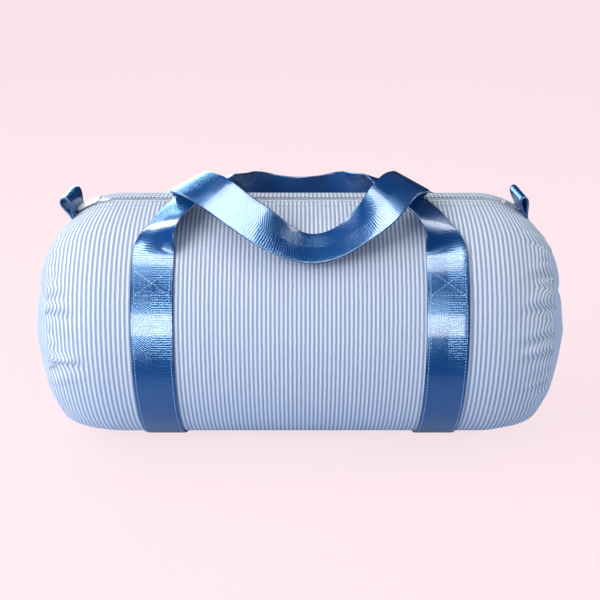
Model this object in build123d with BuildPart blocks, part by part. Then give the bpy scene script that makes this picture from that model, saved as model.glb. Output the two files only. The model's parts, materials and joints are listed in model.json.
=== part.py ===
from build123d import *
import os
from math import acos, asin, cos, degrees, radians, sin, sqrt

# A barrel weekender bag in striped fabric, with a zipped top, two sewn webbing bands, two webbing handles
# and a webbing tab at each end. Millimetres. +X runs along the barrel, -Y is the front, +Z is up, and the
# origin is on the ground under the middle of the bag.

# Barrel and end panels
BARREL_RADIUS = 118.0
STRAIGHT_HALF_LENGTH = 160.0
SEAM_X = 222.0
SEAM_RADIUS = 101.0
END_BULGE = 35.0
GROUND_SAG = 4.2
PANEL_THICKNESS = 1.8
LINING_INSET = 2.3
LINING_THICKNESS = 0.8
SEAM_GAP = 0.3
BINDING_INSET = 3.6
BINDING_THICKNESS = 1.5
BINDING_WIDTH = 9.0

# Webbing
WEBBING_WIDTH = 38.0
WEBBING_THICKNESS = 2.0
SEWN_GAP = 0.2
BAND_X = 131.0

# Handles. Every point is measured from the middle line of the barrel, and a width is a direction.
HANDLE_ANGLE = 45.0
LEG_START_GAP = 1.6
LEG_REST_GAP = 0.8
LEG_STEPS = 8
GRIP_STEPS = 20
PATH_NUDGE = 0.001
FRONT_LEG = {"crest_x": 117.0, "crest_angle": 86.0, "crest_radius": 126.0, "lean": 0.25}
REAR_LEG = {"crest_x": 80.0, "crest_angle": 74.0, "crest_radius": 125.0, "lean": 0.3}
FRONT_GRIP_POINTS = ((108, -14, 139), (90, -38, 138), (30, -83, 95), (0, -83, 95))
FRONT_CREST_ACROSS = (-0.85, 0.15, 0.5)
FRONT_MIDDLE_ACROSS = (0, 0.93, 0.37)
REAR_GRIP_POINTS = ((66, 46, 132), (58, 70, 128), (32, 96, 98), (0, 96, 98))
REAR_CREST_ACROSS = (-0.93, 0, 0.35)
REAR_MIDDLE_ACROSS = (0, -0.45, 0.89)

# Threads
THREAD_WIDTH = 0.8
THREAD_HEIGHT = 0.4
THREAD_GAP = 0.05
BOX_CENTRE_ANGLE = 34.0
BOX_HEIGHT = 37.0
BOX_WIDTH = 31.0
CROSS_HEIGHT = 22.6
BAND_EDGE_INSET = 2.6
BAND_EDGE_LOWEST = 30.0

# Zip
ZIP_Y = -4.0
MOUTH_WIDTH = 16.0
MOUTH_LENGTH = 400.0
TAPE_HEIGHT = 114.4
TAPE_THICKNESS = 0.8
TAPE_WIDTH = 5.0
TAPE_LENGTH = 396.0
COIL_HEIGHT = 113.9
COIL_WIDTH = 1.9
COIL_THICKNESS = 1.8
COIL_GAP = 1.6
COIL_LENGTH = 386.0
STOP_LENGTH = 2.4
SLIDER_TRAVEL = 374.0
SLIDER_LENGTH = 11.0
SLIDER_WIDTH = 9.0
SLIDER_PLATE = 1.2
SLIDER_CORNER = 2.25
SLIDER_CLEARANCE = 0.3
POST_LENGTH = 5.5
POST_WIDTH = 1.2
BAR_RADIUS = 0.6
KNUCKLE_RADIUS = 1.3
KNUCKLE_CLEARANCE = 0.06
KNUCKLE_WIDTH = 4.6
LUG_WIDTH = 1.0
PULL_LENGTH = 20.0
PULL_WIDTH = 6.4
PULL_THICKNESS = 1.2
PULL_CORNER = 2.9
PULL_NECK = 3.9
PULL_NOTCH = 5.2
TOPSTITCH_OFFSETS = (10.4, 18.5)

# End tabs
TAB_X = 213.0
TAB_BASE_RADIUS = 2.1
TAB_CREST_RADIUS = 4.6
TAB_SLIT_RADIUS = 0.525
TAB_RISE = 13.0
TAB_LEAN = 22.0
TAB_GAP = 0.7

# Values worked out from those above
FABRIC_FLOOR = SEWN_GAP + WEBBING_THICKNESS
AXIS_Z = FABRIC_FLOOR + BARREL_RADIUS - GROUND_SAG
BARREL_AXIS = Axis((0, 0, AXIS_Z), (1, 0, 0))
SHOULDER_RUN = SEAM_X - STRAIGHT_HALF_LENGTH
SHOULDER_DROP = BARREL_RADIUS - SEAM_RADIUS
SHOULDER_RADIUS = (SHOULDER_RUN**2 + SHOULDER_DROP**2) / (2 * SHOULDER_DROP)
END_RADIUS = (SEAM_RADIUS**2 + END_BULGE**2) / (2 * END_BULGE)
WEBBING_MIDDLE = BARREL_RADIUS + SEWN_GAP + WEBBING_THICKNESS / 2
BAND_OUTER = SEWN_GAP + WEBBING_THICKNESS
SLIDER_START = -SLIDER_TRAVEL / 2
MOUTH_DEPTH = BARREL_RADIUS / 3
PAST_BARREL = 3 * BARREL_RADIUS


def barrel_core(inset):
    """The barrel as one solid, moved inwards by inset and flattened where it stands."""
    arc = SHOULDER_RADIUS - inset
    arc_centre = AXIS_Z + BARREL_RADIUS - SHOULDER_RADIUS
    rim = arc_centre + sqrt(arc**2 - SHOULDER_RUN**2)
    half_bend = asin(SHOULDER_RUN / arc) / 2
    middle_x = STRAIGHT_HALF_LENGTH + arc * sin(half_bend)
    middle_z = arc_centre + arc * cos(half_bend)
    top = AXIS_Z + BARREL_RADIUS - inset
    straight = STRAIGHT_HALF_LENGTH
    with BuildPart() as core:
        with BuildSketch(Plane.XZ):
            with BuildLine():
                Line((-SEAM_X, AXIS_Z), (-SEAM_X, rim))
                ThreePointArc((-SEAM_X, rim), (-middle_x, middle_z), (-straight, top))
                Line((-straight, top), (straight, top))
                ThreePointArc((straight, top), (middle_x, middle_z), (SEAM_X, rim))
                Line((SEAM_X, rim), (SEAM_X, AXIS_Z))
                Line((SEAM_X, AXIS_Z), (-SEAM_X, AXIS_Z))
            make_face()
        revolve(axis=BARREL_AXIS)
        split(bisect_by=Plane.XY.offset(FABRIC_FLOOR + inset), keep=Keep.TOP)
    return core.part


def barrel_layer(outer_inset, thickness):
    """A layer of fabric that follows the barrel."""
    with BuildPart() as layer:
        add(barrel_core(outer_inset))
        add(barrel_core(outer_inset + thickness), mode=Mode.SUBTRACT)
    return layer.part


def end_core(inset, clip_x):
    """The right-hand end dome as one solid, moved inwards by inset and cut off at clip_x."""
    radius = END_RADIUS - inset
    centre_x = SEAM_X + END_BULGE - END_RADIUS
    rim_angle = acos((clip_x - centre_x) / radius)
    apex = (centre_x + radius, AXIS_Z)
    middle = (centre_x + radius * cos(rim_angle / 2), AXIS_Z + radius * sin(rim_angle / 2))
    rim = (clip_x, AXIS_Z + radius * sin(rim_angle))
    with BuildPart() as core:
        with BuildSketch(Plane.XZ):
            with BuildLine():
                Line((clip_x, AXIS_Z), rim)
                ThreePointArc(rim, middle, apex)
                Line(apex, (clip_x, AXIS_Z))
            make_face()
        revolve(axis=BARREL_AXIS)
    return core.part


def end_layer(outer_inset, thickness, clip_x):
    """A layer of fabric that follows the right-hand end dome."""
    with BuildPart() as layer:
        add(end_core(outer_inset, clip_x))
        add(end_core(outer_inset + thickness, clip_x), mode=Mode.SUBTRACT)
    return layer.part


def write(part, name):
    """Labels a finished piece and writes its file."""
    part.label = name
    export_step(part, f"parts/{name}.step")


def write_pair(right_part, name):
    """Writes a right-hand piece and its mirror image on the left."""
    write(right_part, f"right_{name}")
    write(mirror(right_part, about=Plane.YZ), f"left_{name}")


def cut_mouth(width):
    """Cuts the zipped mouth out of the part that is being built."""
    with Locations((0, ZIP_Y, AXIS_Z + BARREL_RADIUS)):
        Box(MOUTH_LENGTH, width, MOUTH_DEPTH, mode=Mode.SUBTRACT)


def make_shell():
    """The striped barrel, its two end panels, the lining behind them and the bound seams inside."""
    with BuildPart() as body_panel:
        add(barrel_layer(0, PANEL_THICKNESS))
        cut_mouth(MOUTH_WIDTH)
    write(body_panel.part, "body_panel")
    with BuildPart() as body_lining:
        add(barrel_layer(LINING_INSET, LINING_THICKNESS))
        cut_mouth(MOUTH_WIDTH + PANEL_THICKNESS)
    write(body_lining.part, "body_lining")
    write_pair(end_layer(0, PANEL_THICKNESS, SEAM_X + SEAM_GAP), "end_panel")
    write_pair(end_layer(LINING_INSET, LINING_THICKNESS, SEAM_X + SEAM_GAP), "end_lining")
    with BuildPart() as seam_binding:
        add(barrel_layer(BINDING_INSET, BINDING_THICKNESS))
        with Locations((SEAM_X - BINDING_WIDTH / 2, 0, AXIS_Z)):
            Box(BINDING_WIDTH, PAST_BARREL, PAST_BARREL, mode=Mode.INTERSECT)
    write_pair(seam_binding.part, "seam_binding")


def make_bands():
    """The two webbing bands, sewn on from one handle end, under the bag, to the other handle end."""
    band_top = AXIS_Z + WEBBING_MIDDLE * sin(radians(HANDLE_ANGLE)) - WEBBING_THICKNESS
    with BuildPart() as band:
        add(barrel_layer(-BAND_OUTER, WEBBING_THICKNESS))
        with Locations((BAND_X, 0, band_top / 2)):
            Box(WEBBING_WIDTH, PAST_BARREL, band_top, mode=Mode.INTERSECT)
    write_pair(band.part, "band")


def thread_layer(base_inset):
    """A thin layer that threads are cut from, standing on the layer whose outside is at base_inset."""
    return barrel_layer(base_inset - THREAD_GAP - THREAD_HEIGHT, THREAD_HEIGHT)


def box_stitch(x):
    """One box of stitching with a cross in it, on the front of a band, just under a handle end."""
    angle = radians(BOX_CENTRE_ANGLE)
    outward = (0, -cos(angle), sin(angle))
    base = (x, outward[1] * BARREL_RADIUS, AXIS_Z + outward[2] * BARREL_RADIUS)
    diagonal = sqrt(BOX_WIDTH**2 + CROSS_HEIGHT**2)
    cross_angle = degrees(acos(BOX_WIDTH / diagonal))
    with BuildPart() as box:
        with BuildSketch(Plane(origin=base, x_dir=(1, 0, 0), z_dir=outward)):
            Rectangle(BOX_WIDTH, BOX_HEIGHT)
            Rectangle(BOX_WIDTH - 2 * THREAD_WIDTH, BOX_HEIGHT - 2 * THREAD_WIDTH, mode=Mode.SUBTRACT)
            with Locations((0, CROSS_HEIGHT / 2), (0, -CROSS_HEIGHT / 2)):
                Rectangle(BOX_WIDTH, THREAD_WIDTH)
            for turn in (cross_angle, -cross_angle):
                Rectangle(diagonal - 2 * THREAD_WIDTH, THREAD_WIDTH, rotation=turn)
        extrude(amount=2 * WEBBING_THICKNESS + THREAD_HEIGHT)
        add(thread_layer(-BAND_OUTER), mode=Mode.INTERSECT)
    return box.part


def make_threads():
    """The visible stitching: a crossed box at each handle end, the band edges and the zip edges."""
    with BuildPart() as boxes:
        for x in (-BAND_X, BAND_X):
            add(box_stitch(x))
        mirror(about=Plane.XZ)
    write(boxes.part, "handle_box_stitches")

    edge_offset = WEBBING_WIDTH / 2 - BAND_EDGE_INSET
    edge_top = AXIS_Z + BARREL_RADIUS * sin(radians(BOX_CENTRE_ANGLE)) - BOX_HEIGHT / 2
    with BuildPart() as slabs:
        for x in (-BAND_X, BAND_X):
            with Locations((x - edge_offset, 0, 0), (x + edge_offset, 0, 0)):
                Box(
                    THREAD_WIDTH,
                    PAST_BARREL,
                    edge_top - BAND_EDGE_LOWEST,
                    align=(Align.CENTER, Align.CENTER, Align.MIN),
                )
    with BuildPart() as band_edges:
        add(thread_layer(-BAND_OUTER))
        add(slabs.part.moved(Location((0, 0, BAND_EDGE_LOWEST))), mode=Mode.INTERSECT)
    write(band_edges.part, "band_edge_stitches")

    with BuildPart() as rows:
        for offset in TOPSTITCH_OFFSETS:
            with Locations((0, ZIP_Y - offset, AXIS_Z), (0, ZIP_Y + offset, AXIS_Z)):
                Box(
                    2 * STRAIGHT_HALF_LENGTH,
                    THREAD_WIDTH,
                    PAST_BARREL,
                    align=(Align.CENTER, Align.CENTER, Align.MIN),
                )
        add(thread_layer(0), mode=Mode.INTERSECT)
    write(rows.part, "zipper_topstitches")


def zip_strip(offset, width, height, thickness, length):
    """A straight strip along the zip, its near edge at offset behind the middle line of the zip."""
    with BuildPart() as strip:
        with Locations((0, ZIP_Y + offset + width / 2, AXIS_Z + height + thickness / 2)):
            Box(length, width, thickness)
    return strip.part


def make_zip():
    """The zip: two tapes, two coils, the stops, the slider and its pull."""
    zip_plane = Plane.XZ.offset(-ZIP_Y)
    tape_offset = COIL_GAP / 2 + COIL_WIDTH + SEWN_GAP / 2
    rear_tape = zip_strip(tape_offset, TAPE_WIDTH, TAPE_HEIGHT, TAPE_THICKNESS, TAPE_LENGTH)
    rear_coil = zip_strip(COIL_GAP / 2, COIL_WIDTH, COIL_HEIGHT, COIL_THICKNESS, COIL_LENGTH)
    for part, name in ((rear_tape, "zipper_tape"), (rear_coil, "zipper_coil")):
        write(part, f"rear_{name}")
        write(mirror(part, about=zip_plane), f"front_{name}")

    stop_x = COIL_LENGTH / 2 + SEWN_GAP + STOP_LENGTH / 2
    stop_width = COIL_GAP + 2 * COIL_WIDTH
    with BuildPart() as stops:
        for x in (-stop_x, stop_x):
            with Locations((x, ZIP_Y, AXIS_Z + COIL_HEIGHT + COIL_THICKNESS / 2)):
                Box(STOP_LENGTH, stop_width, COIL_THICKNESS)
    write(stops.part, "zipper_stops")

    lower_top = AXIS_Z + COIL_HEIGHT - SLIDER_CLEARANCE
    upper_bottom = AXIS_Z + COIL_HEIGHT + COIL_THICKNESS + SLIDER_CLEARANCE
    upper_top = upper_bottom + SLIDER_PLATE
    pivot_x = SLIDER_START - SLIDER_LENGTH / 2 + KNUCKLE_RADIUS + KNUCKLE_CLEARANCE
    pivot_z = upper_top + KNUCKLE_RADIUS + SEWN_GAP
    lug_y = KNUCKLE_WIDTH / 2 + KNUCKLE_CLEARANCE + LUG_WIDTH / 2
    plate_z = (lower_top - SLIDER_PLATE / 2, upper_bottom + SLIDER_PLATE / 2)
    with BuildPart() as slider:
        for z in plate_z:
            with BuildSketch(Plane.XY.offset(z - SLIDER_PLATE / 2)):
                with Locations((SLIDER_START, ZIP_Y)):
                    RectangleRounded(SLIDER_LENGTH, SLIDER_WIDTH, SLIDER_CORNER)
            extrude(amount=SLIDER_PLATE)
        with Locations((SLIDER_START, ZIP_Y, (lower_top + upper_bottom) / 2)):
            Box(POST_LENGTH, POST_WIDTH, upper_bottom - lower_top)
        for side in (-1, 1):
            with BuildSketch(Plane.XZ.offset(-ZIP_Y - side * lug_y - LUG_WIDTH / 2)):
                with Locations((pivot_x, pivot_z)):
                    Circle(KNUCKLE_RADIUS)
                with Locations((pivot_x, (pivot_z + upper_top) / 2)):
                    Rectangle(2 * KNUCKLE_RADIUS, pivot_z - upper_top + SLIDER_CLEARANCE)
            extrude(amount=LUG_WIDTH)
        with Locations(Location((pivot_x, ZIP_Y, pivot_z), (90, 0, 0))):
            Cylinder(BAR_RADIUS, 2 * lug_y)
    write(slider.part, "zipper_slider")

    plate_bottom = pivot_z - KNUCKLE_RADIUS
    with BuildPart() as pull:
        with BuildSketch(Plane.XY.offset(plate_bottom)):
            with Locations((pivot_x - PULL_LENGTH / 2, ZIP_Y)):
                RectangleRounded(PULL_LENGTH, PULL_WIDTH, PULL_CORNER)
        extrude(amount=PULL_THICKNESS)
        with Locations((pivot_x, ZIP_Y, plate_bottom)):
            Box(PULL_NOTCH, 2 * PULL_WIDTH, PULL_NOTCH, mode=Mode.SUBTRACT)
        with Locations((pivot_x - KNUCKLE_RADIUS, ZIP_Y, plate_bottom + PULL_THICKNESS / 2)):
            Box(PULL_NECK, KNUCKLE_WIDTH, PULL_THICKNESS)
        with Locations(Location((pivot_x, ZIP_Y, pivot_z), (90, 0, 0))):
            Cylinder(KNUCKLE_RADIUS, KNUCKLE_WIDTH)
            Cylinder(BAR_RADIUS + KNUCKLE_CLEARANCE, 2 * KNUCKLE_WIDTH, mode=Mode.SUBTRACT)
    write(pull.part, "zipper_pull")


def make_tabs():
    """A loop of folded webbing that stands on each end of the zip, open to the front and the rear."""
    shoulder_run = TAB_X - STRAIGHT_HALF_LENGTH
    surface = BARREL_RADIUS - SHOULDER_RADIUS + sqrt(SHOULDER_RADIUS**2 - shoulder_run**2)
    base_z = AXIS_Z + surface + TAB_BASE_RADIUS + TAB_GAP
    front = Plane(
        origin=(TAB_X, ZIP_Y - WEBBING_WIDTH / 2, base_z),
        x_dir=(cos(radians(TAB_LEAN)), 0, -sin(radians(TAB_LEAN))),
        z_dir=(0, -1, 0),
    )
    inner_base = WEBBING_THICKNESS + TAB_BASE_RADIUS
    with BuildPart() as tab:
        with BuildSketch(front):
            Circle(TAB_BASE_RADIUS)
            with Locations((0, TAB_RISE)):
                Circle(TAB_CREST_RADIUS)
            make_hull()
        extrude(amount=-WEBBING_WIDTH)
        with BuildSketch(front):
            with Locations((0, inner_base)):
                Circle(TAB_SLIT_RADIUS)
            with Locations((0, TAB_RISE)):
                Circle(TAB_CREST_RADIUS - WEBBING_THICKNESS)
            make_hull()
        extrude(amount=-WEBBING_WIDTH, mode=Mode.SUBTRACT)
    write_pair(tab.part, "end_tab")


def bezier(points, t):
    """A point on the cubic curve that four control points give."""
    u = 1 - t
    a, b, c, d = (Vector(p) for p in points)
    return a * u**3 + b * (3 * u * u * t) + c * (3 * u * t * t) + d * t**3


def ribbon(path, width_at, steps):
    """A webbing strap along a path. width_at gives the direction across the strap, from t and its tangent."""
    sections = []
    for i in range(steps + 1):
        t = i / steps
        along = (path(min(t + PATH_NUDGE, 1)) - path(max(t - PATH_NUDGE, 0))).normalized()
        width = width_at(t, along)
        across = (width - along * width.dot(along)).normalized()
        with BuildSketch(Plane(origin=path(t), x_dir=across, z_dir=along)) as section:
            Rectangle(WEBBING_WIDTH, WEBBING_THICKNESS)
        sections.append(section.sketch)
    with BuildPart() as strap:
        for section in sections:
            add(section.faces()[0])
        loft(ruled=True)
    return strap.part


def make_legs(name, side, crest_x, crest_angle, crest_radius, lean):
    """The two legs of a handle, from the bands up over the barrel to the crests. side is -1 at the front."""
    start_angle = HANDLE_ANGLE + degrees(LEG_START_GAP / WEBBING_MIDDLE)
    lie_radius = WEBBING_MIDDLE + LEG_REST_GAP

    def angle_at(t):
        return radians(start_angle + (crest_angle - start_angle) * t)

    def path(t):
        radius = lie_radius + (crest_radius - lie_radius) * t**2
        x = BAND_X + (crest_x - BAND_X) * t**1.5
        return Vector(x, side * radius * cos(angle_at(t)), AXIS_Z + radius * sin(angle_at(t)))

    def width_at(t, along):
        facing = Vector(lean * t**2, side * cos(angle_at(t)), sin(angle_at(t)))
        return facing.cross(along)

    leg = ribbon(path, width_at, LEG_STEPS)
    write(leg, f"{name}_right_leg")
    write(mirror(leg, about=Plane.YZ), f"{name}_left_leg")


def make_grip(name, points, crest_width, middle_width):
    """The grip of a handle, from crest to crest. points lead from the right-hand crest to the middle."""

    def mirrored(t, vector):
        return Vector(-vector.X, vector.Y, vector.Z) if t > 0.5 else vector

    def to_middle(t):
        return 1 - abs(1 - 2 * t)

    def path(t):
        return mirrored(t, bezier(points, to_middle(t))) + Vector(0, 0, AXIS_Z)

    def width_at(t, along):
        share = to_middle(t)
        first = Vector(*crest_width) * (1 - share)
        return mirrored(t, first) + Vector(*middle_width) * share

    write(ribbon(path, width_at, GRIP_STEPS), name)


def make_handles():
    """The front handle has fallen forwards over its crests, and the rear handle has fallen backwards."""
    make_legs("front_handle", side=-1, **FRONT_LEG)
    make_grip("front_handle_grip", FRONT_GRIP_POINTS, FRONT_CREST_ACROSS, FRONT_MIDDLE_ACROSS)
    make_legs("rear_handle", side=1, **REAR_LEG)
    make_grip("rear_handle_grip", REAR_GRIP_POINTS, REAR_CREST_ACROSS, REAR_MIDDLE_ACROSS)


def main():
    """Builds and writes every piece."""
    os.makedirs("parts", exist_ok=True)
    make_shell()
    make_bands()
    make_threads()
    make_zip()
    make_tabs()
    make_handles()


main()
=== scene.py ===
import json
from math import acos, asin, atan2, cos, pi, radians, sin, sqrt

import bpy
import numpy as np
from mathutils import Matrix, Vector


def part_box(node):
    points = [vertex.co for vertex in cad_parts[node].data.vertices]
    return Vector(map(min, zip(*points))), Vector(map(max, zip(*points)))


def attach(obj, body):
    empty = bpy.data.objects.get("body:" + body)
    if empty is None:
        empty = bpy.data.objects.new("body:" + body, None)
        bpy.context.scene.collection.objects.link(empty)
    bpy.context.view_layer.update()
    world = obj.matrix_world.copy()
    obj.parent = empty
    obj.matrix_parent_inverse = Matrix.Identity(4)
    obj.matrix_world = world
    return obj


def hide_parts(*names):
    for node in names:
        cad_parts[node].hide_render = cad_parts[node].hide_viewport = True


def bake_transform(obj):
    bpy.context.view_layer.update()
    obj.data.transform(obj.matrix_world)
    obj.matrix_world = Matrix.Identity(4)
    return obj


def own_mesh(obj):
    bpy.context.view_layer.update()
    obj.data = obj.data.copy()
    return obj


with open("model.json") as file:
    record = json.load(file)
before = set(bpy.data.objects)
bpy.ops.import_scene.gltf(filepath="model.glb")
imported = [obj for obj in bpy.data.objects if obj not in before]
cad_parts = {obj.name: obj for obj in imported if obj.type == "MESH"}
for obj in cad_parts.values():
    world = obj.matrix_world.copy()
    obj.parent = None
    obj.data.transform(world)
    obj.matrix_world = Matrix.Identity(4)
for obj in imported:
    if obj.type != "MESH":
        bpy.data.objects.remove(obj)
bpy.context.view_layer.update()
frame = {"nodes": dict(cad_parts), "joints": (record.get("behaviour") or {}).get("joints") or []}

# ------------------------ sizes, in metres, from the frame
PANEL_LOW, PANEL_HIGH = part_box("body_panel")
END_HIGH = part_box("right_end_panel")[1]
BAND_LOW, BAND_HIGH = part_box("right_band")
PULL_LOW, PULL_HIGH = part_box("zipper_pull")
JOINTS = {j["name"]: j for j in frame["joints"]}
SIDES = {"left": -1, "right": 1}
BARREL_R = PANEL_HIGH.y
AXIS_Z = PANEL_HIGH.z - BARREL_R
AXIS = np.array([0, 0, AXIS_Z])
FLOOR_GAP = PANEL_LOW.z
SEAM_X = PANEL_HIGH.x
SEAM_R = END_HIGH.y
SEAM_TUCK = 0.0045
BAND_X = (BAND_LOW.x + BAND_HIGH.x) / 2
WEBBING_WIDTH = BAND_HIGH.x - BAND_LOW.x
WEBBING_THICK = 0.0020
BAND_R = BAND_HIGH.y - WEBBING_THICK / 2
ZIP_Y = (PULL_LOW.y + PULL_HIGH.y) / 2
HANDLE_ANGLE = radians(45)


# ------------------------ shape helpers
def smooth(low, high, value):
    """0 below low, 1 above high, and a smooth rise between. Works on numbers and arrays."""
    t = np.clip((value - low) / (high - low), 0, 1)
    return t * t * (3 - 2 * t)


def unit(vectors):
    """The vectors scaled to a length of one."""
    return vectors / np.maximum(np.linalg.norm(vectors, axis=-1, keepdims=True), 1e-9)


def from_axis(points):
    """The part of each point that leads straight out from the barrel's axis."""
    out = points - AXIS
    out[..., 0] = 0
    return out


def from_top(angles):
    """How far round the barrel each angle is from the top, in either direction."""
    return abs((angles - pi / 2 + pi) % (2 * pi) - pi)


def on_barrel(x, angle, radius):
    """The point at an angle round the barrel: 0 is the front, a quarter turn is the top."""
    return Vector((x, -radius * cos(angle), AXIS_Z + radius * sin(angle)))


def path_lengths(path):
    """The length travelled along a path at each of its points."""
    return np.concatenate([[0], np.cumsum(np.linalg.norm(np.diff(path, axis=0), axis=1))])


def grid_faces(columns, count, closed=False, left_out=()):
    """Faces over columns of count points. A closed grid also joins each column's last point to its first."""
    faces = []
    for start in range(0, (columns - 1) * count, count):
        for j in range(count if closed else count - 1):
            if j not in left_out:
                k = (j + 1) % count
                faces.append((start + j, start + count + j, start + count + k, start + k))
    return faces


def slab_faces(columns, count):
    """Faces of a sheet with two layers of columns of points: its two sides and its four edges."""
    layer = columns * count
    faces = []
    for quad in grid_faces(columns, count):
        faces.append(quad)
        faces.append(tuple(k + layer for k in reversed(quad)))
    for j in (0, count - 1):
        for a in range(j, (columns - 1) * count, count):
            quad = (a, a + layer, a + count + layer, a + count)
            faces.append(quad if j == 0 else quad[::-1])
    for i in (0, columns - 1):
        for a in range(i * count, (i + 1) * count - 1):
            quad = (a, a + 1, a + 1 + layer, a + layer)
            faces.append(quad if i == 0 else quad[::-1])
    return faces


def tube_faces(start, rings, sides):
    """Faces of a tube of rings of points, the first of them at start, and then its two ends."""
    faces = []
    for a in range(start, start + (rings - 1) * sides, sides):
        for k in range(sides):
            m = (k + 1) % sides
            faces.append((a + k, a + m, a + sides + m, a + sides + k))
    end = start + (rings - 1) * sides
    return faces + [tuple(range(start, start + sides))[::-1], tuple(range(end, end + sides))]


def new_object(name, points, faces, **attributes):
    """A smooth mesh object from points and faces. Each attribute stores one number per point."""
    mesh = bpy.data.meshes.new(name)
    mesh.from_pydata([tuple(map(float, p)) for p in points], [], [tuple(map(int, f)) for f in faces])
    mesh.validate()
    mesh.polygons.foreach_set("use_smooth", [True] * len(mesh.polygons))
    mesh.update()
    obj = bpy.data.objects.new(name, mesh)
    bpy.context.scene.collection.objects.link(obj)
    for key, values in attributes.items():
        layer = mesh.attributes.new(key, "FLOAT", "POINT")
        layer.data.foreach_set("value", np.asarray(values, np.float32).ravel())
    return obj


def finish_piece(obj, material, slot, body, *nodes):
    """Gives a piece its material, its body and the CAD nodes it stands for. The slot argument is not used."""
    obj.data.materials.clear()
    obj.data.materials.append(material)
    if body:
        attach(obj, body)
    if nodes:
        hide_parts(*nodes)
    return obj


# ------------------------ the sewn skin
FABRIC_ROWS = 216
FABRIC_STATIONS = 113
END_CROWDING = 0.22
DISC_SIDE = FABRIC_ROWS // 4
END_FULLNESS = 0.030
END_ROUNDNESS = 2.6
END_SLACK = 1.005
STRAIGHT = 0.172
SHOULDER_RUN = SEAM_X - STRAIGHT
SHOULDER_R = (SHOULDER_RUN**2 + (BARREL_R - SEAM_R) ** 2) / (2 * (BARREL_R - SEAM_R))
FABRIC_HALF = STRAIGHT + SHOULDER_R * asin(SHOULDER_RUN / SHOULDER_R)
FRONT_LIP = acos(0.0112 / BARREL_R)
REAR_LIP = acos(0.0006 / BARREL_R)
CLOTH_FRAMES = 18
CLOTH_MOST = 0.008


def row_angles():
    """The angle of every row round the barrel, with rows on both edges of the zip."""
    angles = -pi / 2 + 2 * pi * np.arange(FABRIC_ROWS) / FABRIC_ROWS
    front_row = int(np.argmin(abs(angles - FRONT_LIP)))
    rear_row = int(np.argmin(abs(angles - REAR_LIP)))
    angles[front_row : rear_row + 1] = np.linspace(FRONT_LIP, REAR_LIP, rear_row - front_row + 1)
    return angles, front_row, rear_row


ANGLES, FRONT_ROW, REAR_ROW = row_angles()
EVEN = np.linspace(-1, 1, FABRIC_STATIONS)
STATIONS = FABRIC_HALF * ((1 + END_CROWDING) * EVEN - END_CROWDING * EVEN**3)


def start_barrel():
    """Barrel points before the fabric is relaxed, one row of points per station."""
    s, angle = np.meshgrid(STATIONS, ANGLES, indexing="ij")
    bend = np.clip((abs(s) - STRAIGHT) / SHOULDER_R, 0, None)
    x = np.where(abs(s) < STRAIGHT, abs(s), STRAIGHT + SHOULDER_R * np.sin(bend))
    radius = BARREL_R - SHOULDER_R * (1 - np.cos(bend))
    fullness, zip_pull = 0.007, 0.012
    seam_shift = fullness - zip_pull * (1 - smooth(0.10, 0.60, from_top(angle)))
    x = x + smooth(STRAIGHT * 0.8, FABRIC_HALF, abs(s)) * seam_shift
    return np.stack([np.sign(s) * x, -radius * np.cos(angle), AXIS_Z + radius * np.sin(angle)], axis=-1)


def disc_grid():
    """Points of a square grid mapped onto the unit disc, and the grid's ring of outer points in order."""
    n = DISC_SIDE + 1
    line = np.linspace(-1, 1, n)
    a, b = np.meshgrid(line, line, indexing="ij")
    wide = abs(a) > abs(b)
    big, small = np.where(wide, a, b), np.where(wide, b, a)
    turn = pi / 4 * small / np.where(big == 0, 1, big)
    u = np.where(wide, big * np.cos(turn), big * np.sin(turn))
    v = np.where(wide, big * np.sin(turn), big * np.cos(turn))
    ring = [(i, 0) for i in range(n - 1)] + [(n - 1, j) for j in range(n - 1)]
    ring += [(i, n - 1) for i in range(n - 1, 0, -1)] + [(0, j) for j in range(n - 1, 0, -1)]
    return u, v, ring


DISC_U, DISC_V, DISC_RING = disc_grid()


def disc_faces(index, side):
    """Faces over a disc's grid of point numbers, facing out of the bag on the given side."""
    faces = []
    for i in range(DISC_SIDE):
        for j in range(DISC_SIDE):
            quad = (index[i, j], index[i + 1, j], index[i + 1, j + 1], index[i, j + 1])
            faces.append(quad[::-1] if side < 0 else quad)
    return faces


def disc_place(cell):
    """A disc point's distance from the centre, and its place among the rows round the barrel."""
    row = (atan2(DISC_V[cell], DISC_U[cell]) + pi / 2) / (2 * pi) * FABRIC_ROWS
    return min(1.0, sqrt(DISC_U[cell] ** 2 + DISC_V[cell] ** 2)), row


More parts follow.
